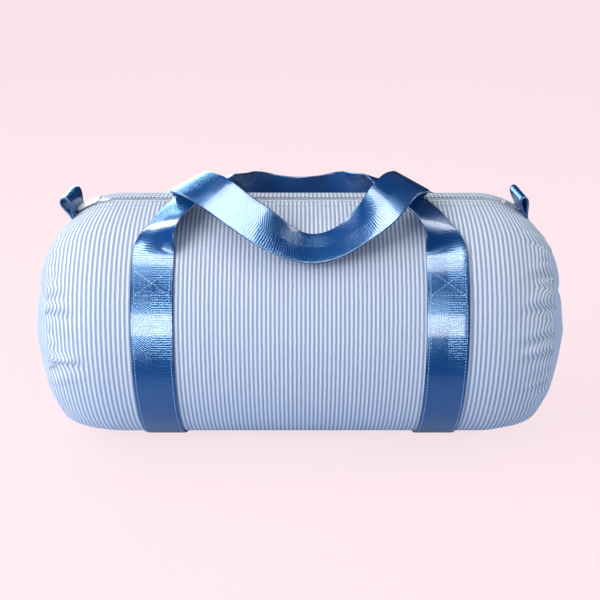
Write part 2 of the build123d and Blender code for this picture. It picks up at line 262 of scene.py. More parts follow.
def build_cloth_mesh():
    """The whole skin as one closed mesh: points, the relaxed shape, faces and each end's grid."""
    barrel = start_barrel()
    rows = FABRIC_ROWS
    rest = np.empty_like(barrel)
    rest[..., 0] = STATIONS[:, None]
    rest[..., 1] = -BARREL_R * np.cos(ANGLES)
    rest[..., 2] = AXIS_Z + BARREL_R * np.sin(ANGLES)
    points, relaxed = [barrel.reshape(-1, 3)], [rest.reshape(-1, 3)]
    faces = grid_faces(FABRIC_STATIONS, rows, closed=True)
    discs = {}
    total = FABRIC_STATIONS * rows
    for side, station in ((-1, 0), (1, FABRIC_STATIONS - 1)):
        index = -np.ones(DISC_U.shape, int)
        rim = barrel[station]
        for cell in DISC_RING:
            index[cell] = station * rows + int(round(disc_place(cell)[1])) % rows
        spots = []
        for cell in np.ndindex(index.shape):
            if index[cell] < 0:
                r, row = disc_place(cell)
                low, part = int(row) % rows, row - int(row)
                edge = rim[low] * (1 - part) + rim[(low + 1) % rows] * part
                centre = np.array([edge[0], 0, AXIS_Z])
                spot = centre + (edge - centre) * r
                spot[0] = edge[0] + side * END_FULLNESS * (1 - r**END_ROUNDNESS)
                index[cell] = total + len(spots)
                spots.append(spot)
        total += len(spots)
        points.append(np.array(spots))
        relaxed.append((points[-1] - AXIS) * [1, END_SLACK, END_SLACK] + AXIS)
        faces += disc_faces(index, side)
        discs[side] = index
    return np.concatenate(points), np.concatenate(relaxed), faces, discs


def held_points():
    """The barrel points that stay in place: at the seams, under the bands and at the zip."""
    grid = np.zeros((FABRIC_STATIONS, FABRIC_ROWS), bool)
    grid[0] = grid[-1] = True
    under_band = abs(abs(STATIONS) - BAND_X) < WEBBING_WIDTH * 0.42
    grid[np.ix_(under_band, from_top(ANGLES) >= pi / 2 - HANDLE_ANGLE)] = True
    grid[:, FRONT_ROW - 1 : REAR_ROW + 2] = True
    return [int(number) for number in np.nonzero(grid.ravel())[0]]


def relax_fabric(points, relaxed, faces):
    """Lets the filled fabric find its shape with a cloth simulation, moving each point by CLOTH_MOST at most."""
    obj = new_object("skin_simulation", points, faces)
    obj.shape_key_add(name="Basis")
    key = obj.shape_key_add(name="relaxed")
    key.data.foreach_set("co", relaxed.astype(np.float32).ravel())
    key.value = 0
    obj.vertex_groups.new(name="held").add(held_points(), 1.0, "REPLACE")
    cloth = obj.modifiers.new("Cloth", "CLOTH")
    settings = cloth.settings
    settings.rest_shape_key = key
    settings.vertex_group_mass = "held"
    settings.quality = 6
    settings.mass = 0.15
    settings.tension_stiffness = 30
    settings.compression_stiffness = 30
    settings.shear_stiffness = 8
    settings.bending_stiffness = 0.05
    settings.air_damping = 2
    settings.use_pressure = True
    settings.uniform_pressure_force = 3
    settings.effector_weights.gravity = 0
    cloth.collision_settings.use_collision = False
    scene = bpy.context.scene
    for number in range(1, CLOTH_FRAMES + 1):
        scene.frame_set(number)
    evaluated = obj.evaluated_get(bpy.context.evaluated_depsgraph_get())
    result = np.zeros(len(points) * 3, np.float32)
    evaluated.data.vertices.foreach_get("co", result)
    scene.frame_set(1)
    bpy.data.objects.remove(obj)
    move = result.reshape(-1, 3).astype(float) - points
    length = np.linalg.norm(move, axis=1, keepdims=True)
    return points + move * np.where(length > CLOTH_MOST, CLOTH_MOST / np.maximum(length, 1e-9), 1)


def make_skin():
    """The relaxed skin: barrel points by station and row, all points, and the end discs."""
    points, relaxed, faces, discs = build_cloth_mesh()
    points = relax_fabric(points, relaxed, faces)
    points[:, 2] = np.maximum(points[:, 2], FLOOR_GAP)
    count = FABRIC_STATIONS * FABRIC_ROWS
    return points[:count].reshape(FABRIC_STATIONS, FABRIC_ROWS, 3), points, discs


GRID, SKIN, DISCS = make_skin()


def grid_normals(grid):
    """Outward unit normals of the barrel points."""
    along = np.gradient(grid, axis=0)
    around = np.roll(grid, -1, axis=1) - np.roll(grid, 1, axis=1)
    normal = unit(np.cross(around, along))
    return np.where((normal * from_axis(grid)).sum(-1, keepdims=True) < 0, -normal, normal)


NORMALS = grid_normals(GRID)


def on_skin(s, angle, lift=0.0):
    """Points on the relaxed skin at fabric length s and an angle round the barrel, raised by lift."""
    s, angle = np.broadcast_arrays(np.asarray(s, float), np.asarray(angle, float))
    angle = (angle + pi / 2) % (2 * pi) - pi / 2
    column = np.clip(np.interp(s, STATIONS, np.arange(FABRIC_STATIONS)), 0, FABRIC_STATIONS - 1.001)
    row = np.interp(angle, np.append(ANGLES, ANGLES[0] + 2 * pi), np.arange(FABRIC_ROWS + 1))
    i, j = column.astype(int), row.astype(int)
    a, b = (column - i)[..., None], (row - j)[..., None]
    j, k = j % FABRIC_ROWS, (j + 1) % FABRIC_ROWS

    def between(field):
        near = field[i, j] * (1 - b) + field[i, k] * b
        far = field[i + 1, j] * (1 - b) + field[i + 1, k] * b
        return near * (1 - a) + far * a

    return between(GRID) + between(NORMALS) * lift


def doubled(field, axis):
    """The field with a smooth in-between value added between every two neighbours along an axis."""
    f = np.moveaxis(field, axis, 0)
    wide = np.concatenate([2 * f[:1] - f[1:2], f, 2 * f[-1:] - f[-2:-1]])
    out = np.empty((2 * len(f) - 1,) + f.shape[1:])
    out[::2] = f
    out[1::2] = (9 * (f[:-1] + f[1:]) - wide[:-3] - wide[3:]) / 16
    return np.moveaxis(out, 0, axis)


# A crease's length from the seam and its depth, each as a range: first the strong ones, then the weak.
STRONG_CREASE = ((0.026, 0.042), (0.0052, 0.0076))
WEAK_CREASE = ((0.012, 0.024), (0.0016, 0.0032))
CREASE_HALF_WIDTH = (0.0026, 0.0040)
CREASE_SPACING = (0.10, 0.21)


def gather(points, lengths, angles):
    """Adds the small gathers along both end seams: creases of uneven length, depth and lean."""
    rng = np.random.default_rng(7)
    normal = unit(from_axis(points))
    from_seam = FABRIC_HALF - abs(lengths)[:, None]
    calm = smooth(0.09, 0.30, from_top(angles[None, :]))
    for side in SIDES.values():
        at_side = (lengths * side > 0)[:, None]
        angle = rng.uniform(0, 2 * pi)
        last = angle + 2 * pi - 0.05
        while angle < last:
            length_range, depth_range = STRONG_CREASE if rng.random() < 0.5 else WEAK_CREASE
            length = rng.uniform(*length_range)
            depth = rng.uniform(*depth_range)
            half_width = rng.uniform(*CREASE_HALF_WIDTH)
            lean = rng.uniform(-0.35, 0.35)
            pull = rng.uniform(0.4, 1.3)
            away = (angles[None, :] - angle + pi) % (2 * pi) - pi
            across = (away * SEAM_R + lean * from_seam) / half_width
            fade = (1 - smooth(length * 0.30, length, from_seam)) * (0.5 + 0.5 * smooth(0, 0.005, from_seam))
            inside = fade * at_side * calm
            crease = np.exp(-(across**2)) * inside
            above = np.exp(-(((across - 2.2) / 1.3) ** 2)) * inside
            below = np.exp(-(((across + 2.6) / 1.8) ** 2)) * inside
            points = points + normal * ((0.55 * above + 0.25 * below - crease) * depth)[..., None]
            points[..., 0] += side * (crease - 0.5 * above) * pull * depth * 0.8
            angle += rng.uniform(*CREASE_SPACING)
    return points


def rolled(edge, out, away):
    """Three lines of points that turn a zip edge under, the inner one first."""
    roll, hem = 0.0008, 0.006
    under = edge - out * 2 * roll
    return [under + away * hem, under + away * roll, edge - out * roll - away * roll * 0.7]


def make_body_panel():
    """The striped barrel, with its two zip edges rolled under and its ends turned into the seams."""
    rows = [(REAR_ROW + k) % FABRIC_ROWS for k in range(FABRIC_ROWS - (REAR_ROW - FRONT_ROW) + 1)]
    turns = doubled(np.array([ANGLES[r] + (2 * pi if r < REAR_ROW else 0) for r in rows]), 0)
    lengths = doubled(STATIONS, 0)
    normal = doubled(doubled(NORMALS[:, rows], 0), 1)
    skin = gather(doubled(doubled(GRID[:, rows], 0), 1), lengths, turns)
    skin[..., 2] = np.maximum(skin[..., 2], FLOOR_GAP)
    edge_lift = 0.0008
    skin[:, 0] += normal[:, 0] * edge_lift
    skin[:, 1] += normal[:, 1] * edge_lift * 0.4
    to_rear = np.array([0.0, 1.0, 0.0])
    rear = rolled(skin[:, 0], normal[:, 0], to_rear)
    front = rolled(skin[:, -1], normal[:, -1], -to_rear)[::-1]
    panel = np.stack(rear + [skin[:, k] for k in range(skin.shape[1])] + front, axis=1)
    tucked = panel - unit(from_axis(panel)) * SEAM_TUCK
    panel = np.concatenate([tucked[:1], panel, tucked[-1:]])
    columns, count = panel.shape[:2]
    lengths = np.concatenate([[-FABRIC_HALF - SEAM_TUCK], lengths, [FABRIC_HALF + SEAM_TUCK]])
    turns = np.concatenate([[turns[0]] * 3, turns, [turns[-1]] * 3])
    return new_object(
        "body_panel_skin", panel.reshape(-1, 3), grid_faces(columns, count),
        cloth_u=np.repeat(lengths, count), cloth_v=np.tile(turns * BARREL_R, columns),
    )


def end_disc(side):
    """One end of the skin: its points, its faces, and each grid cell's place among those points."""
    used, cells = np.unique(DISCS[side], return_inverse=True)
    cells = cells.reshape(DISC_U.shape)
    return SKIN[used], disc_faces(cells, side), cells


def make_end_panel(side, name):
    """One padded end panel, with its rim turned into the seam."""
    points, faces, cells = end_disc(side)
    rim = np.array([cells[cell] for cell in DISC_RING])
    inboard = np.array([side * 0.0006, 0, 0])
    turned = points[rim] - unit(from_axis(points[rim])) * SEAM_TUCK - inboard
    start = len(points)
    for n, k in enumerate(rim):
        m = (n + 1) % len(rim)
        quad = (rim[m], k, start + n, start + m)
        faces.append(quad if side > 0 else quad[::-1])
    flat = np.zeros((start, 2))
    flat[cells] = np.stack([DISC_U, DISC_V], axis=-1) * SEAM_R
    flat = np.concatenate([flat, flat[rim]])
    points = np.concatenate([points, turned])
    obj = new_object(name, points, faces, cloth_u=flat[:, 0], cloth_v=flat[:, 1])
    rounding = obj.modifiers.new("Subdivision", "SUBSURF")
    rounding.levels = rounding.render_levels = 1
    rounding.boundary_smooth = "PRESERVE_CORNERS"
    return obj


def make_lining(name, inset):
    """The barrel lining: a plainer sheet inside the skin, set deeper near the end seams."""
    step = 2
    gather_run, gather_depth = 0.045, 0.004
    near_seam = smooth(FABRIC_HALF - gather_run, FABRIC_HALF, abs(STATIONS))[:, None, None]
    grid = (GRID - NORMALS * (inset + gather_depth * near_seam))[::step, ::step]
    columns, count = grid.shape[:2]
    mouth = range(FRONT_ROW // step, REAR_ROW // step)
    return new_object(
        name, grid.reshape(-1, 3), grid_faces(columns, count, closed=True, left_out=mouth),
        cloth_u=np.repeat(STATIONS[::step], count), cloth_v=np.tile(ANGLES[::step] * BARREL_R, columns),
    )


def make_end_lining(side, name, inset):
    """One end lining: the end panel's shape, moved inwards."""
    points, faces, _ = end_disc(side)
    centre = np.array([side * SEAM_X * 0.9, 0, AXIS_Z])
    return new_object(name, points + unit(centre - points) * inset, faces)


def make_binding(side, name):
    """The tape folded over the end seam's edges, inside the bag."""
    ring = GRID[0 if side < 0 else -1][::2]
    ring = np.concatenate([ring, ring[:1]])
    inward = -unit(from_axis(ring))
    depth, spread = 0.0105, 0.25
    inward[:, 0] = -side * spread
    return make_strap(name, ring + inward * depth, inward, width=0.009, thick=0.0026)


# ------------------------ webbing
STRAP_ACROSS = 13


def strap_section():
    """The outline of the webbing across its width: (across, height), as shares of width and thickness."""
    top = []
    for t in np.linspace(-1, 1, STRAP_ACROSS):
        across = 0.5 * sin(pi / 2 * t)
        top.append((across * 0.985, 0.4 if abs(across) > 0.47 else 0.5))
    return top + [(0.5, 0.0)] + [(across, -h) for across, h in reversed(top)] + [(-0.5, 0.0)]


def make_strap(name, centres, acrosses, width=WEBBING_WIDTH, thick=WEBBING_THICK, start_u=0.0):
    """A strip of webbing with rounded edges along a path. acrosses point across the strap."""
    centres = np.asarray(centres, float)
    along = unit(np.gradient(centres, axis=0))
    acrosses = np.asarray(acrosses, float)
    acrosses = unit(acrosses - along * (acrosses * along).sum(1, keepdims=True))
    normals = np.cross(acrosses, along)
    a, h = np.array(strap_section()).T[..., None]
    points = centres[:, None] + acrosses[:, None] * a * width + normals[:, None] * h * thick
    rings, count = points.shape[:2]
    last = (rings - 1) * count
    faces = grid_faces(rings, count, closed=True)
    faces += [tuple(range(count)), tuple(range(last, last + count))[::-1]]
    obj = new_object(
        name, points.reshape(-1, 3), faces,
        strap_u=np.repeat(path_lengths(centres) + start_u, count),
        strap_v=np.tile(a.ravel() * width, rings), strap_side=np.tile(np.sign(h.ravel()), rings),
    )
    for edge in obj.data.edges:
        if max(edge.vertices) < count or min(edge.vertices) >= last:
            edge.use_edge_sharp = True
    return obj


def spline(stations, spacing):
    """A smooth curve through stations of (place, direction across), sampled at an even spacing."""
    keys = np.array([list(place) + list(across) for place, across in stations], float)
    count = len(keys)
    length = path_lengths(keys[:, :3])
    step = np.diff(length)[:, None]
    system = np.eye(count)
    right = np.zeros_like(keys)
    for i in range(1, count - 1):
        system[i, i - 1 : i + 2] = step[i - 1, 0], 2 * (step[i - 1, 0] + step[i, 0]), step[i, 0]
        right[i] = 6 * ((keys[i + 1] - keys[i]) / step[i] - (keys[i] - keys[i - 1]) / step[i - 1])
    bend = np.linalg.solve(system, right)
    even = np.linspace(0, length[-1], max(4, int(length[-1] / spacing)))
    k = np.clip(np.searchsorted(length, even) - 1, 0, count - 2)
    low, high, width = (even - length[k])[:, None], (length[k + 1] - even)[:, None], step[k]
    out = (bend[k] * high**3 + bend[k + 1] * low**3) / (6 * width)
    out += (keys[k] / width - bend[k] * width / 6) * high
    out += (keys[k + 1] / width - bend[k + 1] * width / 6) * low
    return out[:, :3], out[:, 3:], even


def band_path(x, first_angle, last_angle, spacing=0.003):
    """The path of webbing round the barrel, flattened where the bag stands."""
    angles = np.linspace(first_angle, last_angle, int(abs(last_angle - first_angle) * BAND_R / spacing))
    centres = np.array([on_barrel(x, a, BAND_R) for a in angles])
    centres[:, 2] = np.maximum(centres[:, 2], WEBBING_THICK / 2 + 0.0001)
    return centres, angles


def make_band(side, name):
    """A band of webbing from the front handle end, under the bag, to the rear handle end."""
    centres, _ = band_path(side * BAND_X, HANDLE_ANGLE, HANDLE_ANGLE - 2 * pi + 2 * (pi / 2 - HANDLE_ANGLE))
    return make_strap(name, centres, [(-1, 0, 0)] * len(centres))


# ------------------------ threads
STITCH_R = 0.00024
STITCH_PROFILE = ((0.0, 0.35), (0.12, 0.85), (0.5, 1.0), (0.88, 0.85), (1.0, 0.35))


def at_length(at, length, values):
    """The values along a path, found at one length."""
    return np.array([np.interp(at, length, values[:, c]) for c in range(3)])


def make_dashes(name, runs, radius=STITCH_R, dash=0.0023, gap=0.0010):
    """Rows of stitches: each run is a list of points along a seam and a list of outward directions."""
    points, faces = [], []
    sides = 6
    near = 0.0005
    for path, out in runs:
        path, out = np.asarray(path, float), np.asarray(out, float)
        length = path_lengths(path)
        number = max(1, int(length[-1] / (dash + gap)))
        pitch = length[-1] / number
        for n in range(number):
            faces += tube_faces(len(points), len(STITCH_PROFILE), sides)
            for share, size in STITCH_PROFILE:
                at = n * pitch + gap / 2 + (pitch - gap) * share
                centre = at_length(at, length, path)
                along = at_length(min(at + near, length[-1]), length, path)
                along = unit(along - at_length(max(at - near, 0), length, path))
                up = at_length(at, length, out)
                up = unit(up - along * np.dot(up, along))
                across = np.cross(along, up)
                for turn in 2 * pi * np.arange(sides) / sides:
                    points.append(centre + (across * cos(turn) * 1.25 + up * sin(turn) * 0.8) * radius * size)
    return new_object(name, points, faces)


def line_on_band(x0, angle0, x1, angle1):
    """A straight line of stitches on the outside of a band, and the same line behind the bag."""
    shares = np.linspace(0, 1, 24)
    radius = BAND_R + WEBBING_THICK / 2
    path = np.array([on_barrel(x0 + (x1 - x0) * t, angle0 + (angle1 - angle0) * t, radius) for t in shares])
    out = unit(from_axis(path))
    behind = np.array([1, -1, 1])
    return [(path, out), (path * behind, out * behind)]


def make_box_stitches():
    """The crossed boxes of stitching at the four handle ends."""
    half_width = WEBBING_WIDTH / 2 - 0.0035
    outer = (radians(25.5), radians(43.0))
    inner = (radians(28.6), radians(39.3))
    runs = []
    for x in (-BAND_X, BAND_X):
        left, right = x - half_width, x + half_width
        for angle in outer + inner:
            runs += line_on_band(left, angle, right, angle)
        for edge in (left, right):
            runs += line_on_band(edge, outer[0], edge, outer[1])
        runs += line_on_band(left, inner[0], right, inner[1])
        runs += line_on_band(left, inner[1], right, inner[0])
    return make_dashes("handle_box_stitch_threads", runs)


def make_band_edge_stitches():
    """The rows of stitching that hold the bands, near both edges, except where the bag stands."""
    runs = []
    inset = WEBBING_WIDTH / 2 - 0.0026
    top, floor_clear = radians(25.0), 0.004
    for x in (-BAND_X, BAND_X):
        for edge in (x - inset, x + inset):
            centres, angles = band_path(edge, top, -pi - top, 0.002)
            out = np.stack([0 * angles, -np.cos(angles), np.sin(angles)], axis=1)
            path = centres + out * WEBBING_THICK / 2
            clear = path[:, 2] > floor_clear
            split = np.nonzero(np.diff(clear.astype(int)))[0]
            for part in np.split(np.arange(len(path)), split + 1):
                if len(part) > 4 and clear[part[0]]:
                    runs.append((path[part], out[part]))
    return make_dashes("band_edge_stitch_threads", runs)


def make_topstitches():
    """Two rows of stitching beside each edge of the zip."""
    runs = []
    margin, lift = 0.006, 0.00015
    s = np.linspace(-FABRIC_HALF + margin, FABRIC_HALF - margin, 260)
    for degrees in (83.2, 79.0, 93.5, 99.0):
        path = on_skin(s, radians(degrees), lift)
        runs.append((path, on_skin(s, radians(degrees), 0.01) - path))
    return make_dashes("zipper_topstitch_threads", runs, radius=0.00026)


# ------------------------ zip
TAPE_FRONT_Y = -0.0150
TAPE_REAR_Y = 0.0060
TAPE_GAP = 0.0004
COIL_PITCH = 0.0016
COIL_R = 0.00045
COIL_MARGIN = 0.012


def make_tape(name, first_y, last_y, first_depth, last_depth):
    """One tape of the zip, lying in the mouth and following the top of the bag."""
    s = np.linspace(-FABRIC_HALF, FABRIC_HALF, 170)
    share = np.linspace(0, 1, 7)
    y = first_y + (last_y - first_y) * share
    depth = first_depth + (last_depth - first_depth) * share
    points = on_skin(s[:, None], np.arccos(-y / BARREL_R), -depth[:, None])
    obj = new_object(
        name, points.reshape(-1, 3), grid_faces(len(s), len(y)),
        cloth_u=np.repeat(s, len(y)), cloth_v=np.tile(y, len(s)),
    )
    solid = obj.modifiers.new("Thickness", "SOLIDIFY")
    solid.thickness = 0.0007
    solid.offset = -1
    return obj


def make_coil(name, side):
    """One coil of the zip: a row of small moulded loops."""
    points, faces = [], []
    sides, rings = 5, 7
    reach, depth, height = 0.0021, 0.0019, 0.0006
    for n in range(int(2 * (FABRIC_HALF - COIL_MARGIN) / COIL_PITCH)):
        s = -FABRIC_HALF + COIL_MARGIN + COIL_PITCH * (n + (0.5 if side > 0 else 0))
        base = on_skin(s, acos(-ZIP_Y / BARREL_R), -0.0010)
        faces += tube_faces(len(points), rings, sides)
        for bend in np.linspace(-pi / 2, pi / 2, rings):
            centre = base + np.array([0, side * (reach - depth * cos(bend)), height * sin(bend)])
            for turn in 2 * pi * np.arange(sides) / sides:
                points.append(centre + np.array([cos(turn), 0, sin(turn)]) * COIL_R)
    return new_object(name, points, faces)


def make_pull():
    """The zip pull: a flat rounded tag that lies down over the end of the bag."""
    hinge = Vector(JOINTS["zipper_pull_hinge"]["pos_m"])
    length = PULL_HIGH.x - PULL_LOW.x
    half = (PULL_HIGH.y - PULL_LOW.y) / 2 * 1.1
    thick, tilt = 0.0018, 0.45
    steps, across = 22, 9
    lengths = np.linspace(-FABRIC_HALF * 0.7, -FABRIC_HALF, 60)
    top_line = on_skin(lengths, acos(0.010 / BARREL_R), 0.0030)
    points = []
    for level in (0.5, -0.5):
        for t in np.linspace(0, 1, steps + 1):
            x = hinge.x - t * length
            height = float(np.interp(-x, -top_line[:, 0], top_line[:, 2]))
            end = min(t, 1 - t) * length / half
            width = half * (0.78 + 0.22 * smooth(0, 0.5, t)) * sqrt(max(0.0, 1 - max(0.0, 1 - end) ** 2))
            for a in np.linspace(-1, 1, across + 1):
                crown = 1 - 0.25 * a**4
                points.append((x, ZIP_Y + width * a, height + width * a * tilt + level * thick * crown))
    obj = new_object("zipper_pull_tag", points, slab_faces(steps + 1, across + 1))
    obj.modifiers.new("Weld", "WELD").merge_threshold = 0.0001
    return obj


# ------------------------ end tabs
TAB_SHAPE = ((0.4, 0.0), (1.1, 4.4), (3.0, 10.5), (4.2, 15.4), (3.4, 19.2), (0.0, 21.0))
TAB_LEAN = {-1: radians(22), 1: radians(-12)}
TAB_FULLNESS = {-1: 1.0, 1: 0.75}


def make_tab(side, name):
    """A folded loop of webbing, pinched at its base and open to the front and the rear."""
    lean, fullness = TAB_LEAN[side], TAB_FULLNESS[side]
    outline = TAB_SHAPE + tuple((-p, q) for p, q in reversed(TAB_SHAPE[:-1]))
    rounded, _, _ = spline([((p * fullness / 1000, 0, q / 1000), (0, 1, 0)) for p, q in outline], 0.0011)
    profile = rounded[:, [0, 2]]
    tangent = unit(np.gradient(profile, axis=0))
    normal = np.stack([-tangent[:, 1], tangent[:, 0]], axis=1)
    across = np.linspace(-1, 1, 15)
    front = on_skin(side * (FABRIC_HALF - 0.005), radians(79))
    rear = on_skin(side * (FABRIC_HALF - 0.008), radians(100))
    points = []
    for level in (0.5, -0.5):
        for p, q in profile + normal * level * WEBBING_THICK * 0.8:
            out = p * cos(lean) + q * sin(lean)
            up = -p * sin(lean) + q * cos(lean)
            for a in across:
                base = front + (rear - front) * (a + 1) / 2
                points.append(base + np.array([side * out, 0, up + 0.0006]))
    columns, count = len(profile), len(across)
    faces = slab_faces(columns, count)
    if side < 0:
        faces = [f[::-1] for f in faces]
    return new_object(
        name, points, faces,
        strap_u=np.tile(np.repeat(path_lengths(profile), count), 2),
        strap_v=np.tile(across * WEBBING_WIDTH / 2, 2 * columns),
        strap_side=np.repeat([1, -1], columns * count),
    )


# ------------------------ handles
# A station is a place, in millimetres with the height counted from the barrel's axis, and then the
# direction across the strap. The left leg's stations come first, and the right leg mirrors them.
FRONT_LEG = [
    (-130.0, -76.2, 94.4, 0.98, -0.18, 0.05),
    (-127.5, -71.6, 103.2, 0.88, -0.44, 0.2),
    (-122.0, -63.0, 112.5, 0.82, -0.49, 0.28),
    (-115.0, -48.0, 118.0, 0.85, -0.46, 0.25),
    (-108.5, -33.0, 122.0, 0.86, -0.44, 0.27),
    (-103.5, -19.0, 125.5, 0.85, -0.42, 0.33),
    (-102.5, -10.5, 128.5, 0.92, -0.2, 0.3),
    (-103.5, -8.5, 132.5, 0.93, 0.12, 0.3),
    (-104.5, -12.0, 136.0, 0.86, 0.38, 0.33),
    (-102.5, -22.0, 139.0, 0.79, 0.49, 0.38),
    (-92.0, -41.0, 141.0, 0.75, 0.52, 0.41),
]
FRONT_GRIP = [
    (-75.0, -61.0, 138.0, 0.67, 0.56, 0.5),
    (-54.0, -75.0, 126.5, 0.57, 0.66, 0.49),
    (-32.0, -83.5, 113.5, 0.43, 0.7, 0.57),
    (-9.0, -83.0, 99.0, 0.15, 0.86, 0.5),
    (9.5, -81.0, 93.2, -0.04, 0.91, 0.42),
    (29.0, -79.0, 96.0, -0.18, 0.91, 0.38),
    (52.0, -76.0, 110.0, -0.39, 0.84, 0.38),
    (71.0, -72.0, 127.5, -0.6, 0.6, 0.51),
]
REAR_HALF = [
    (-130.0, 77.2, 94.4, 0.97, 0.22, 0.05),
    (-127.0, 73.5, 104.0, 0.80, 0.56, 0.18),
    (-120.0, 66.5, 109.5, 0.77, 0.61, 0.17),
    (-110.0, 54.5, 111.5, 0.79, 0.61, 0.0),
    (-99.0, 41.0, 114.0, 0.8, 0.57, -0.1),
    (-91.5, 33.0, 118.0, 0.87, 0.4, -0.15),
    (-90.0, 33.5, 122.0, 0.95, -0.2, -0.05),
    (-85.0, 44.0, 123.0, 0.84, -0.48, 0.25),
    (-75.0, 58.5, 117.0, 0.76, -0.34, 0.55),
    (-63.0, 73.0, 109.0, 0.6, -0.1, 0.8),
    (-49.0, 91.0, 102.5, 0.3, -0.02, 0.95),
    (-27.5, 101.0, 98.0, 0.1, -0.3, 0.95),
]
REAR_MIDDLE = [(0.0, 97.0, 98.0, 0.0, -0.45, 0.89)]
ON_BAND = radians(2.5)


def stations_from(rows):
    """Handle stations as (place in metres, direction across)."""
    return [(np.array([x, y, AXIS_Z * 1000 + z]) / 1000, tuple(across)) for x, y, z, *across in rows]


def handle_stations(turn, leg, middle):
    """A whole handle: on the left band, up the left leg, over the middle, and the same down the right."""
    start = HANDLE_ANGLE if turn > 0 else pi - HANDLE_ANGLE
    on_band = [(np.array(on_barrel(-BAND_X, a, BAND_R)), (1, 0, 0)) for a in (start, start + turn * ON_BAND)]
    left = on_band + stations_from(leg)
    flip = np.array([-1, 1, 1])
    right = [(place * flip, tuple(np.array(across) * flip)) for place, across in reversed(left)]
    return left + stations_from(middle) + right


def add_handle(prefix, stations, leg_end, crest_end):
    """A handle in five pieces: two legs, two crests, and the grip between them."""
    places, acrosses, lengths = spline(stations, 0.0022)
    keys = np.array([place for place, _ in stations])
    last = len(keys) - 1
    cuts = [
        int(np.argmin(np.linalg.norm(places - keys[number], axis=1)))
        for number in (0, leg_end, crest_end, last - crest_end, last - leg_end, last)
    ]
    legs, loop = f"{prefix}_legs", f"{prefix}_loop"
    names = ("left_leg_strap", "left_crest", "grip_strap", "right_crest", "right_leg_strap")
    for name, low, high in zip(names, cuts[:-1], cuts[1:]):
        part = slice(low, high + 1)
        obj = make_strap(f"{prefix}_handle_{name}", places[part], acrosses[part], start_u=lengths[low])
        if name == "grip_strap":
            finish_piece(obj, WEBBING, "webbing", loop, f"{prefix}_handle_grip")
            continue
        finish_piece(obj, WEBBING, "webbing", None)
        if "leg" in name:
            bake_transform(obj)
            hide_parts(f"{prefix}_handle_{name.removesuffix('_strap')}")
        else:
            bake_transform(obj)


# ------------------------ materials
class Graph:
    """A short way to write a material's nodes. Every method takes numbers or other nodes' results."""

    def __init__(self, name):
        self.material = bpy.data.materials.new(name)
        self.material.use_nodes = True
        self.tree = self.material.node_tree
        self.inputs = self.tree.nodes["Principled BSDF"].inputs

    def link(self, value, socket):
        """Sets a socket to a number, or joins it to another socket."""
        if isinstance(value, bpy.types.NodeSocket):
            self.tree.links.new(value, socket)
        else:
            socket.default_value = value

    def node(self, kind, values=(), **settings):
        """A new node with its first inputs filled in order."""
        node = self.tree.nodes.new(f"ShaderNode{kind}")
        for key, value in settings.items():
            setattr(node, key, value)
        for value, socket in zip(values, node.inputs):
            self.link(value, socket)
        return node

    def attribute(self, name):
        return self.node("Attribute", attribute_name=name).outputs["Fac"]

    def math(self, operation, *values):
        return self.node("Math", values, operation=operation).outputs[0]

    def product(self, a, b):
        return self.math("MULTIPLY", a, b)

    def wave(self, value, pitch):
        """A sine of a length in metres, from 0 to 1."""
        sine = self.math("SINE", self.product(value, 2 * pi / pitch))
        return self.math("MULTIPLY_ADD", sine, 0.5, 0.5)

    def step(self, value, low, high):
        """0 below low, 1 above high, and a smooth rise between."""
        node = self.node("MapRange", (value, low, high), interpolation_type="SMOOTHSTEP")
        return node.outputs["Result"]

    def vector(self, x, y):
        return self.node("CombineXYZ", (x, y)).outputs[0]

    def noise(self, scale, detail=3.0, vector=None):
        node = self.node("TexNoise")
        node.inputs["Scale"].default_value = scale
        node.inputs["Detail"].default_value = detail
        self.link(vector or self.node("TexCoord").outputs["Object"], node.inputs["Vector"])
        return node.outputs["Fac"]

    def waver(self, scale, reach, place):
        """A slow wander, from half of reach below zero to half above."""
        return self.product(self.math("SUBTRACT", self.noise(scale, 2.0, place), 0.5), reach)

    def mix(self, share, a, b):
        """Between two colours."""
        node = self.node("Mix", (share,), data_type="RGBA")
        for value, socket in ((a, node.inputs[6]), (b, node.inputs[7])):
            self.link(value if isinstance(value, bpy.types.NodeSocket) else (*value, 1.0), socket)
        return node.outputs[2]

    def bump(self, height, distance, strength=1.0):
        node = self.node("Bump")
        node.inputs["Distance"].default_value = distance
        node.inputs["Strength"].default_value = strength
        self.link(height, node.inputs["Height"])
        self.link(node.outputs[0], self.inputs["Normal"])

    def finish(self, **values):
        """Sets the shader's inputs, given by the names below, and returns the material."""
        names = {
            "color": "Base Color", "roughness": "Roughness", "specular": "Specular IOR Level",
            "tint": "Specular Tint", "sheen": "Sheen Weight", "sheen_roughness": "Sheen Roughness",
            "coat": "Coat Weight", "coat_roughness": "Coat Roughness",
            "glow": "Emission Color", "glow_strength": "Emission Strength",
        }
        for key, value in values.items():
            self.link(value, self.inputs[names[key]])
        return self.material


def linear(r, g, b):
    """A colour given in 0 to 255 sRGB, as linear values."""
    shares = (value / 255 for value in (r, g, b))
    return tuple(c / 12.92 if c <= 0.04045 else ((c + 0.055) / 1.055) ** 2.4 for c in shares)


STRIPE_PITCH = 0.00388
WARP_PITCH = 0.00055
WEFT_PITCH = 0.00060
RIB_PITCH = 0.0021
RIB_SLANT = 0.75
YARN_PITCH = 0.0015


